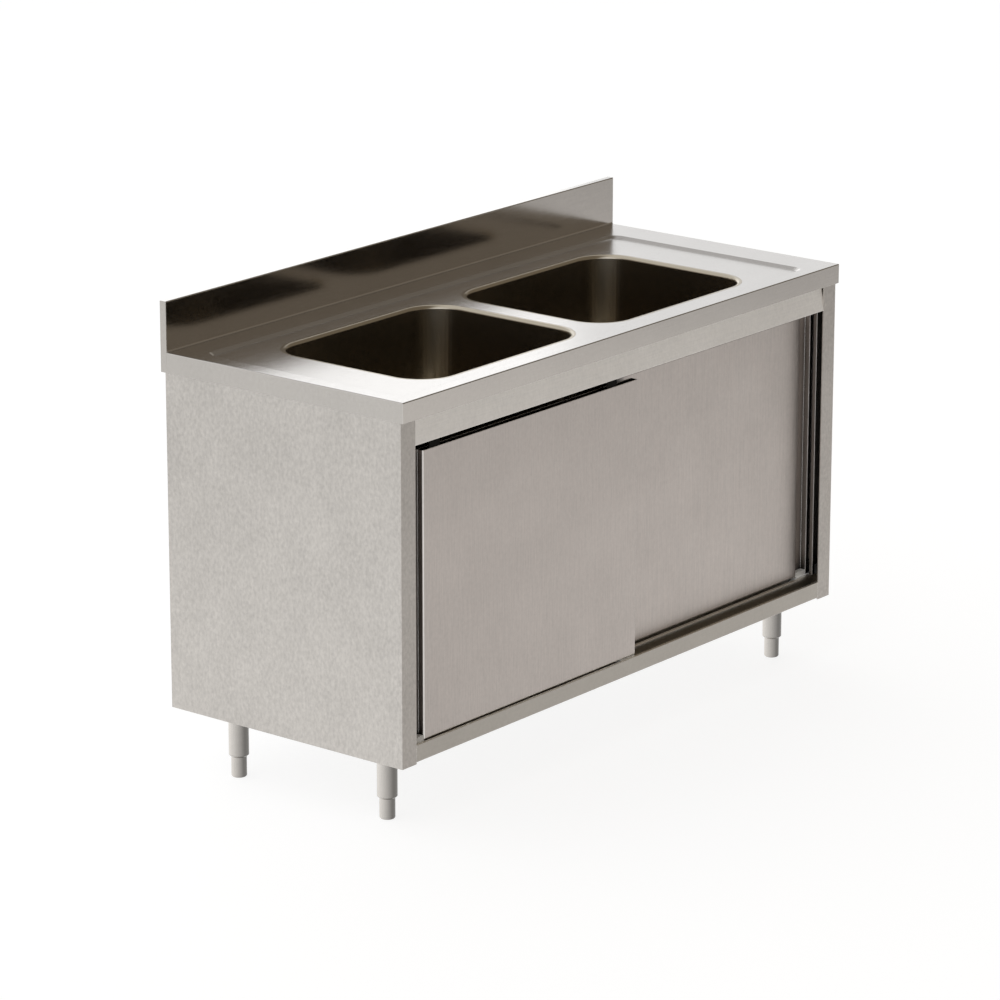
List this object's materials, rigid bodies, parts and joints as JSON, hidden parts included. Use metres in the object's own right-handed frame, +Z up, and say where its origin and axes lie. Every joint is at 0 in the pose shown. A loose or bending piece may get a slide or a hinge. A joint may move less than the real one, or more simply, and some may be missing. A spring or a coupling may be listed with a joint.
{
  "type": "hand wash sink cabinet",
  "caption": "Steel wash sink cabinet: sunken-rim worktop with deep round-cornered bowls, rear upstand, hanging sliding doors with recessed pulls, bottle trap and adjustable feet.",
  "frame": {"origin": "on the floor under the middle of the worktop", "axes": "+X to the right along the front, +Y to the back, +Z up"},
  "size_m": [1.4, 0.6, 0.95],
  "materials": {
    "worktop_steel": "satin brushed along its length",
    "bowl_steel": "satin, drawn",
    "panel_steel": "satin brushed upright",
    "header_steel": "satin brushed along its length",
    "door_steel": "satin brushed upright",
    "door_core": "raw fibre core",
    "track_steel": "mill finish",
    "hanger_steel": "blackened",
    "leg_steel": "satin tube",
    "fastener_steel": "plain",
    "guide_nylon": "moulded",
    "stop_rubber": "moulded",
    "strainer_steel": "bright polished",
    "waste_plastic": "moulded"
  },
  "bodies": {
    "cabinet": {"worktop": "worktop_steel", "upstand_caps": "worktop_steel", "bowl_left": "bowl_steel", "bowl_right": "bowl_steel", "worktop_stiffeners": "panel_steel", "side_panel_left": "panel_steel", "side_panel_right": "panel_steel", "back_panel": "panel_steel", "floor_panel": "panel_steel", "bottom_track": "panel_steel", "jamb_left": "panel_steel", "jamb_right": "panel_steel", "header": "header_steel", "top_track": "track_steel", "base_channel_front": "panel_steel", "base_channel_back": "panel_steel", "door_stops": "stop_rubber", "leg_plates": "leg_steel", "leg_tube_front_left": "leg_steel", "leg_tube_front_right": "leg_steel", "leg_tube_back_left": "leg_steel", "leg_tube_back_right": "leg_steel", "leg_inserts": "leg_steel", "leg_bolts": "fastener_steel", "back_panel_screws": "fastener_steel", "track_screws": "fastener_steel", "strainer_left": "strainer_steel", "strainer_right": "strainer_steel", "strainer_gaskets": "stop_rubber", "strainer_nuts": "waste_plastic", "tailpieces": "waste_plastic", "waste_elbow": "waste_plastic", "cross_pipe": "waste_plastic", "waste_tee": "waste_plastic", "trap_body": "waste_plastic", "trap_cup": "waste_plastic", "outlet_pipe": "waste_plastic", "slip_nuts": "waste_plastic"},
    "left_door": {"door_left_outer": "door_steel", "door_left_inner": "door_steel", "door_left_core": "door_core", "door_left_hangers": "hanger_steel", "door_left_bolts": "fastener_steel", "door_left_guides": "guide_nylon"},
    "right_door": {"door_right_outer": "door_steel", "door_right_inner": "door_steel", "door_right_core": "door_core", "door_right_hangers": "hanger_steel", "door_right_bolts": "fastener_steel", "door_right_guides": "guide_nylon"},
    "left_door_roller_1": {"door_left_roller_1": "guide_nylon"},
    "left_door_roller_2": {"door_left_roller_2": "guide_nylon"},
    "right_door_roller_1": {"door_right_roller_1": "guide_nylon"},
    "right_door_roller_2": {"door_right_roller_2": "guide_nylon"},
    "foot_front_left": {"foot_front_left": "leg_steel"},
    "foot_front_right": {"foot_front_right": "leg_steel"},
    "foot_back_left": {"foot_back_left": "leg_steel"},
    "foot_back_right": {"foot_back_right": "leg_steel"},
    "basket_left": {"basket_left": "strainer_steel"},
    "basket_right": {"basket_right": "strainer_steel"}
  },
  "joints": [
    {"name": "left_door_slide", "type": "slide", "parent": "cabinet", "child": "left_door", "axis": [1, 0, 0], "range_m": [0, 0.642]},
    {"name": "right_door_slide", "type": "slide", "parent": "cabinet", "child": "right_door", "axis": [-1, 0, 0], "range_m": [0, 0.642]},
    {"name": "left_door_roller_1_spin", "type": "hinge", "parent": "left_door", "child": "left_door_roller_1", "pos_m": [-0.592, -0.2785, 0.7833], "axis": [0, 1, 0], "continuous": true},
    {"name": "left_door_roller_2_spin", "type": "hinge", "parent": "left_door", "child": "left_door_roller_2", "pos_m": [-0.05, -0.2785, 0.7833], "axis": [0, 1, 0], "continuous": true},
    {"name": "right_door_roller_1_spin", "type": "hinge", "parent": "right_door", "child": "right_door_roller_1", "pos_m": [0.592, -0.247, 0.7833], "axis": [0, 1, 0], "continuous": true},
    {"name": "right_door_roller_2_spin", "type": "hinge", "parent": "right_door", "child": "right_door_roller_2", "pos_m": [0.05, -0.247, 0.7833], "axis": [0, 1, 0], "continuous": true},
    {"name": "foot_front_left_screw", "type": "slide", "parent": "cabinet", "child": "foot_front_left", "axis": [0, 0, 1], "range_m": [-0.02, 0]},
    {"name": "foot_front_right_screw", "type": "slide", "parent": "cabinet", "child": "foot_front_right", "axis": [0, 0, 1], "range_m": [-0.02, 0]},
    {"name": "foot_back_left_screw", "type": "slide", "parent": "cabinet", "child": "foot_back_left", "axis": [0, 0, 1], "range_m": [-0.02, 0]},
    {"name": "foot_back_right_screw", "type": "slide", "parent": "cabinet", "child": "foot_back_right", "axis": [0, 0, 1], "range_m": [-0.02, 0]},
    {"name": "basket_left_lift", "type": "slide", "parent": "cabinet", "child": "basket_left", "axis": [0, 0, 1], "range_m": [0, 0.32]},
    {"name": "basket_right_lift", "type": "slide", "parent": "cabinet", "child": "basket_right", "axis": [0, 0, 1], "range_m": [0, 0.32]}
  ],
  "couplings": [
    {"joint": "left_door_roller_1_spin", "follows": "left_door_slide", "rad_per_m": 90.909},
    {"joint": "left_door_roller_2_spin", "follows": "left_door_slide", "rad_per_m": 90.909},
    {"joint": "right_door_roller_1_spin", "follows": "right_door_slide", "rad_per_m": -90.909},
    {"joint": "right_door_roller_2_spin", "follows": "right_door_slide", "rad_per_m": -90.909}
  ]
}
